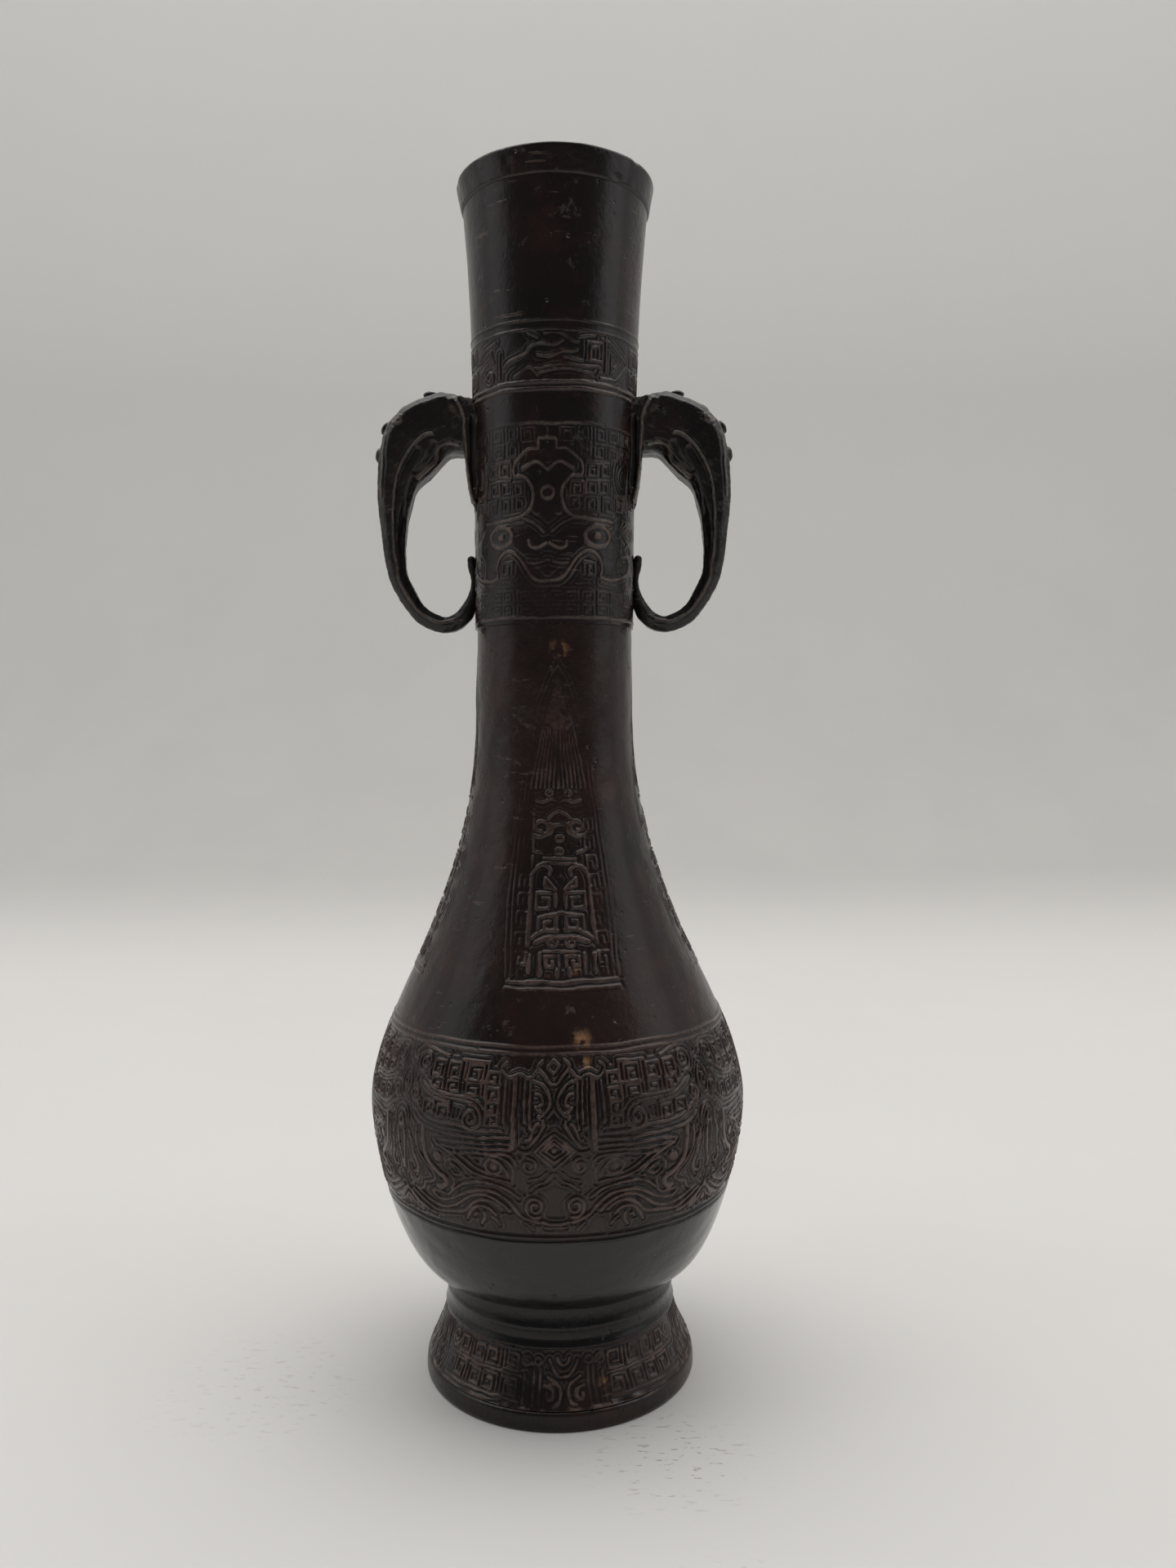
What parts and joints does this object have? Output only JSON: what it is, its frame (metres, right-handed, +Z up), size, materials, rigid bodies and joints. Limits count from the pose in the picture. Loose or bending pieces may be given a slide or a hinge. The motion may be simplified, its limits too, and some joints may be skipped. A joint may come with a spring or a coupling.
{
  "type": "copper alloy vase",
  "caption": "Tall pear-bodied bronze vase with a long neck, elephant-head handles and a flared foot ring, in dark patina with archaic relief bands.",
  "frame": {"origin": "centre of the foot's underside, on the surface that the vase stands on", "axes": "+Z up along the vase's axis; the handles lie along X; the side with the front masks faces -Y"},
  "size_m": [0.0808, 0.0808, 0.255],
  "materials": {
    "foot_bronze": "dark brown waxed patina, worn relief",
    "inner_bronze": "dull unpolished casting skin",
    "body_bronze": "dark brown-black waxed patina, satin, relief lines rubbed lighter",
    "neck_bronze": "dark brown-black waxed patina with reddish brown patches",
    "handle_bronze": "dark brown-black waxed patina, edges rubbed lighter"
  },
  "bodies": {
    "root": {"foot": "foot_bronze", "base_plate": "inner_bronze", "body": "body_bronze", "neck": "neck_bronze", "right_elephant_handle": "handle_bronze", "left_elephant_handle": "handle_bronze"}
  },
  "joints": []
}
